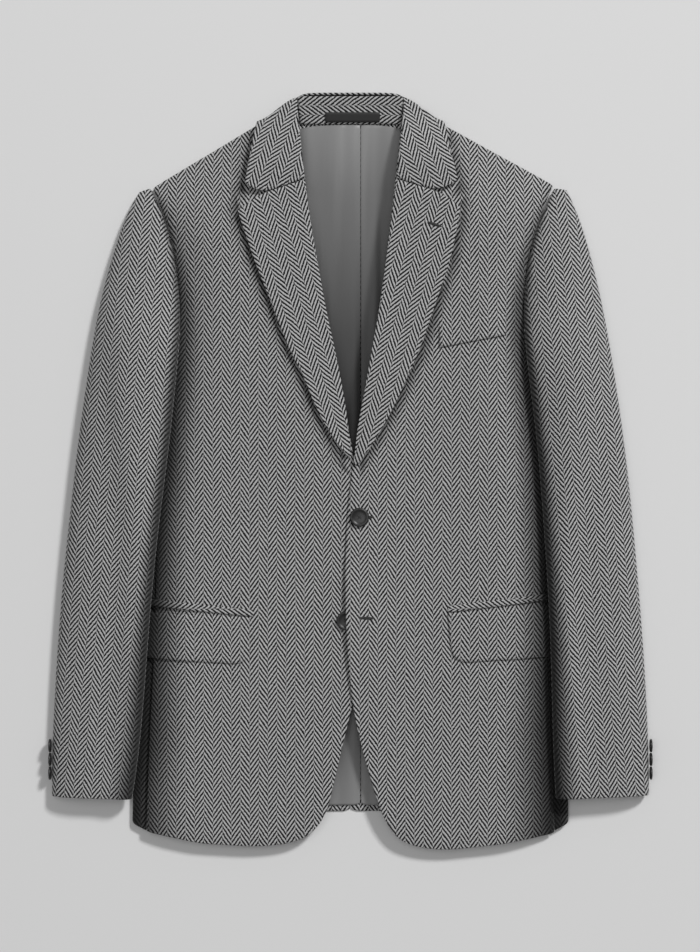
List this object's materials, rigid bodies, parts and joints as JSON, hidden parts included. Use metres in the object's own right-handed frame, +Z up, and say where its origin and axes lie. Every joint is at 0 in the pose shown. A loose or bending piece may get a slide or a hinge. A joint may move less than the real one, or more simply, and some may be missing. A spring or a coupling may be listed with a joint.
{
  "type": "herringbone tweed sport coat, laid flat",
  "caption": "Single-breasted notch-lapel sport coat in grey herringbone tweed, laid flat with its front up.",
  "frame": {"origin": "on the surface it lies on, under the middle of the coat", "axes": "+Y towards the collar, +Z up out of the coat front, +X to the right seen from above"},
  "size_m": [0.6534, 0.8194, 0.0425],
  "materials": {
    "tweed": "matte",
    "lining": "satin",
    "label": "satin",
    "button": "satin"
  },
  "bodies": {
    "root": {"back_left": "tweed", "side_panel_left": "tweed", "front_left": "tweed", "lapel_left": "tweed", "collar_leaf_left": "tweed", "sleeve_upper_left": "tweed", "sleeve_under_left": "tweed", "pocket_jet_left": "tweed", "pocket_flap_left": "tweed", "back_lining_left": "lining", "cuff_button_left_1": "button", "cuff_button_left_2": "button", "cuff_button_left_3": "button", "back_right": "tweed", "side_panel_right": "tweed", "front_right": "tweed", "lapel_right": "tweed", "collar_leaf_right": "tweed", "sleeve_upper_right": "tweed", "sleeve_under_right": "tweed", "pocket_jet_right": "tweed", "pocket_flap_right": "tweed", "back_lining_right": "lining", "cuff_button_right_1": "button", "cuff_button_right_2": "button", "cuff_button_right_3": "button", "collar_nape": "tweed", "collar_stand": "tweed", "breast_welt": "tweed", "neck_label": "label", "front_button_upper": "button", "front_button_lower": "button"}
  },
  "joints": []
}
